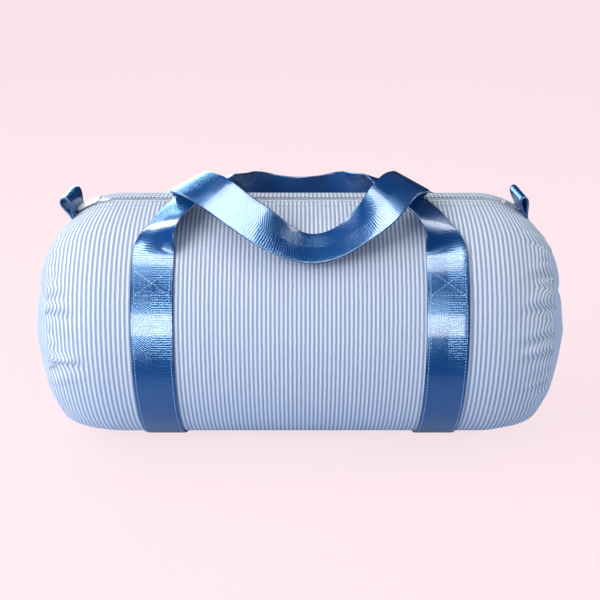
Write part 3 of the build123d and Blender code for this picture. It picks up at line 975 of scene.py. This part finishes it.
def striped_fabric(name, light, dark):
    """Woven cotton with narrow stripes whose blue threads pucker a little."""
    g = Graph(name)
    u, v = g.attribute("cloth_u"), g.attribute("cloth_v")
    place = g.vector(u, v)
    waver = g.waver(90.0, 0.0006, place)
    stripe = g.step(g.wave(g.math("ADD", u, waver), STRIPE_PITCH), 0.22, 0.78)
    weave = g.product(g.wave(u, WARP_PITCH), g.wave(v, WEFT_PITCH))
    slub = g.noise(700.0, 2.0, place)
    dark_thread = g.mix(g.product(slub, 0.35), dark, light)
    base = g.mix(stripe, light, dark_thread)
    color = g.mix(g.product(weave, 0.08), base, (0.92, 0.97, 1.0))
    crinkle = g.product(g.noise(420.0, 3.0, place), stripe)
    g.bump(g.math("MULTIPLY_ADD", weave, 0.35, crinkle), 0.00035, 0.8)
    return g.finish(color=color, roughness=0.85, sheen=0.25, sheen_roughness=0.4, specular=0.25)


def webbing_material():
    """Glossy woven webbing: ribs that run across one half and slant on the other, with firmer edges that carry
    painted shade.
    """
    g = Graph("webbing_twill")
    u, v = g.attribute("strap_u"), g.attribute("strap_v")
    place = g.vector(u, v)
    slant = g.math("MULTIPLY_ADD", g.math("MAXIMUM", v, 0.0), RIB_SLANT, u)
    rib = g.wave(g.math("ADD", slant, g.waver(260.0, 0.0012, place)), RIB_PITCH)
    weave = g.product(rib, g.math("MULTIPLY_ADD", g.wave(v, YARN_PITCH), 0.45, 0.55))
    streak = g.noise(1.0, 3.0, g.vector(g.product(u, 900.0), g.product(v, 150.0)))
    offset = g.math("ABSOLUTE", v)
    edge = g.step(offset, WEBBING_WIDTH * 0.455, WEBBING_WIDTH * 0.49)
    middle = g.math("SUBTRACT", 1.0, g.step(offset, 0.0, 0.0009))
    cloud = g.noise(60.0, 3.0, place)
    deep = linear(0, 42, 104)
    color = g.mix(weave, deep, linear(20, 92, 162))
    color = g.mix(g.product(cloud, 0.30), color, linear(14, 86, 156))
    # painted shade: the outer edges of the strap are darkened halfway toward the deep navy
    color = g.mix(g.product(edge, 0.5), color, deep)
    color = g.mix(g.product(middle, 0.35), color, deep)
    height = g.math("MULTIPLY_ADD", edge, 0.4, weave)
    g.bump(g.math("MULTIPLY_ADD", streak, 0.8, height), 0.00017, 0.9)
    return g.finish(
        color=color, roughness=g.math("MULTIPLY_ADD", cloud, 0.06, 0.14), specular=1.0,
        tint=(0.36, 0.66, 0.96, 1.0), coat=0.6, coat_roughness=0.13,
    )


def tape_material():
    """The off-white woven tape of the zip."""
    g = Graph("zip_tape_weave")
    weave = g.product(g.wave(g.attribute("cloth_u"), 0.0006), g.wave(g.attribute("cloth_v"), 0.0005))
    color = g.mix(weave, linear(214, 218, 224), linear(240, 242, 246))
    g.bump(weave, 0.0002, 0.7)
    return g.finish(color=color, roughness=0.75, sheen=0.2)


def thread_material(name, tone):
    """Twisted sewing thread."""
    g = Graph(name)
    strand = g.noise(2600.0, 2.0)
    g.bump(strand, 0.0001, 0.5)
    color = g.mix(strand, tone, tuple(min(1.0, c * 1.35 + 0.02) for c in tone))
    return g.finish(color=color, roughness=0.45, sheen=0.2)


def moulded_material(name, tone, roughness):
    """Moulded or enamelled zip parts, with a faint uneven surface."""
    g = Graph(name)
    speck = g.noise(900.0)
    g.bump(speck, 0.00005, 0.4)
    color = g.mix(speck, tone, tuple(c * 0.9 for c in tone))
    return g.finish(color=color, roughness=g.math("MULTIPLY_ADD", speck, 0.15, roughness), specular=0.5)


def lining_material(name, tone):
    """Plain smooth lining cloth."""
    g = Graph(name)
    weave = g.noise(1500.0, 2.0)
    g.bump(weave, 0.0001, 0.5)
    color = g.mix(weave, tone, tuple(c * 0.82 for c in tone))
    return g.finish(color=color, roughness=0.7, sheen=0.15)


def floor_material():
    """A pale, even studio floor: it glows a little for the camera, and throws back a cooler light."""
    g = Graph("pale_floor")
    camera = g.node("LightPath").outputs["Is Camera Ray"]
    seen = g.mix(g.noise(3.0, 2.0), linear(255, 235, 240), linear(254, 233, 238))
    faint = g.mix(0.86, seen, (0.0, 0.0, 0.0))
    color = g.mix(camera, (0.58, 0.68, 0.84), faint)
    glow_strength = g.product(camera, 0.88)
    return g.finish(color=color, roughness=0.9, specular=0.0, glow=seen, glow_strength=glow_strength)


STRIPED = striped_fabric("striped_cotton", (0.79, 0.84, 0.97), (0.20, 0.29, 0.48))
END_STRIPED = striped_fabric("striped_cotton_ends", (0.62, 0.72, 0.92), (0.30, 0.42, 0.70))
WEBBING = webbing_material()
WEBBING_THREAD = thread_material("webbing_thread", linear(138, 180, 224))
FABRIC_THREAD = thread_material("fabric_thread", linear(128, 144, 172))
TAPE = tape_material()
COIL = moulded_material("zip_coil_plastic", linear(222, 227, 234), 0.4)
ENAMEL = moulded_material("zip_enamel", linear(242, 242, 240), 0.3)
LINING = lining_material("lining_cloth", linear(205, 214, 228))
BINDING = lining_material("binding_cloth", linear(70, 104, 150))


# ------------------------ build everything
front_tape = make_tape("front_zip_tape", TAPE_FRONT_Y, ZIP_Y - TAPE_GAP, 0.0018, 0.0010)
rear_tape = make_tape("rear_zip_tape", ZIP_Y + TAPE_GAP, TAPE_REAR_Y, 0.0010, 0.0042)
pieces = [
    (make_body_panel(), STRIPED, "striped_fabric", "body_panel"),
    (make_lining("body_lining_cloth", 0.005), LINING, "lining_fabric", "body_lining"),
    (make_box_stitches(), WEBBING_THREAD, "webbing_thread", "handle_box_stitches"),
    (make_band_edge_stitches(), WEBBING_THREAD, "webbing_thread", "band_edge_stitches"),
    (make_topstitches(), FABRIC_THREAD, "fabric_thread", "zipper_topstitches"),
    (front_tape, TAPE, "zip_tape", "front_zipper_tape"),
    (rear_tape, TAPE, "zip_tape", "rear_zipper_tape"),
    (make_coil("front_zip_coil", -1), COIL, "zip_coil", "front_zipper_coil"),
    (make_coil("rear_zip_coil", 1), COIL, "zip_coil", "rear_zipper_coil"),
]
for end, side in SIDES.items():
    end_lining = make_end_lining(side, f"{end}_end_lining_cloth", 0.006)
    pieces += [
        (make_end_panel(side, f"{end}_end_skin"), END_STRIPED, "end_fabric", f"{end}_end_panel"),
        (end_lining, LINING, "lining_fabric", f"{end}_end_lining"),
        (make_binding(side, f"{end}_binding_tape"), BINDING, "binding_tape", f"{end}_seam_binding"),
        (make_band(side, f"{end}_band_webbing"), WEBBING, "webbing", f"{end}_band"),
        (make_tab(side, f"{end}_tab_webbing"), WEBBING, "webbing", f"{end}_end_tab"),
    ]
for obj, material, slot, node in pieces:
    finish_piece(obj, material, slot, "bag", node)

pull = finish_piece(make_pull(), ENAMEL, "zip_slider", "pull", "zipper_pull")
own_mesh(pull)
add_handle("front", handle_stations(1, FRONT_LEG, FRONT_GRIP), 7, 12)
add_handle("rear", handle_stations(-1, REAR_HALF, REAR_MIDDLE), 5, 11)
for node, material in (("zipper_slider", ENAMEL), ("zipper_stops", COIL)):
    frame["nodes"][node].data.materials.clear()
    frame["nodes"][node].data.materials.append(material)


# ------------------------ stage
def add_floor():
    """A plain pale floor that fills the view, and a small card that only reflections see."""
    size = 6.0
    corners = [(-size, -size, 0), (size, -size, 0), (size, size, 0), (-size, size, 0)]
    floor = new_object("floor", corners, [(0, 1, 2, 3)])
    floor.data.materials.append(floor_material())
    floor.visible_glossy = False
    front, half, height = -0.24, 0.6, 0.0003
    corners = [(-half, front, height), (half, front, height), (half, -front, height), (-half, -front, height)]
    card = new_object("reflection_card", corners, [(0, 1, 2, 3)])
    card.data.materials.append(floor.data.materials[0])
    card.visible_camera = card.visible_diffuse = card.visible_shadow = False


def add_light(name, place, target, size, radiance, color=(1.0, 1.0, 1.0), key=False):
    """A soft light. A key light gives shape to the cloth, and a softbox is only seen in reflections."""
    light = bpy.data.lights.new(name, "AREA")
    light.shape = "RECTANGLE"
    light.size, light.size_y = size
    light.energy = radiance * pi * size[0] * size[1]
    light.color = color
    obj = bpy.data.objects.new(name, light)
    obj.location = place
    obj.rotation_euler = (Vector(target) - Vector(place)).to_track_quat("-Z", "Y").to_euler()
    obj.visible_diffuse = key
    obj.visible_glossy = not key
    bpy.context.scene.collection.objects.link(obj)


def add_lights():
    """Soft studio light: a key from the upper left, even fill, and softboxes for the webbing's shine."""
    centre = (0, 0, AXIS_Z)
    add_light("key", (-1.25, -1.0, 0.95), centre, (1.0, 1.0), 6.6, (0.98, 0.99, 1.0), key=True)
    add_light("fill", (1.6, 0.25, 0.45), centre, (0.8, 0.8), 2.4, (0.92, 0.97, 1.0), key=True)
    add_light("top", (-1.1, 0.1, 1.6), centre, (1.2, 1.2), 2.6, (0.98, 0.99, 1.0), key=True)
    add_light("front_softbox", (-0.25, -1.7, 0.43), (0, 0, 0.40), (1.5, 0.60), 18.5)
    add_light("overhead_softbox", (-0.1, -0.35, 1.45), centre, (1.1, 0.7), 16.0)
    add_light("left_softbox", (-0.95, 0.55, 0.80), centre, (0.45, 0.45), 13.0)
    add_light("right_softbox", (0.95, 0.55, 0.80), centre, (0.45, 0.45), 7.0)
    add_light("rear_softbox", (-0.8, 1.5, 0.38), centre, (1.3, 0.7), 8.0, (0.36, 0.68, 1.0))


def add_world():
    """Cool, even light from all round, which is all but dark in reflections."""
    world = bpy.data.worlds.new("studio")
    world.use_nodes = True
    tree = world.node_tree
    background = tree.nodes["Background"]
    background.inputs["Color"].default_value = (0.92, 0.96, 1.0, 1)
    path = tree.nodes.new("ShaderNodeLightPath")
    strength = tree.nodes.new("ShaderNodeMix")
    strength.data_type = "FLOAT"
    strength.inputs[2].default_value = 0.45
    strength.inputs[3].default_value = 0.02
    tree.links.new(path.outputs["Is Glossy Ray"], strength.inputs[0])
    tree.links.new(strength.outputs[0], background.inputs["Strength"])
    bpy.context.scene.world = world
    bpy.context.scene.view_settings.view_transform = "Standard"


def add_camera():
    """The camera, at the viewing angle of a product shot from a little above."""
    elevation = radians(22)
    distance = 1.0
    data = bpy.data.cameras.new("camera")
    data.lens = 60
    data.sensor_width = 36
    data.shift_y = 0.0192
    camera = bpy.data.objects.new("camera", data)
    centre = Vector(AXIS)
    camera.location = centre + Vector((0, -cos(elevation), sin(elevation))) * distance
    camera.rotation_euler = (centre - camera.location).to_track_quat("-Z", "Y").to_euler()
    bpy.context.scene.collection.objects.link(camera)
    bpy.context.scene.camera = camera


add_floor()
add_lights()
add_world()
add_camera()
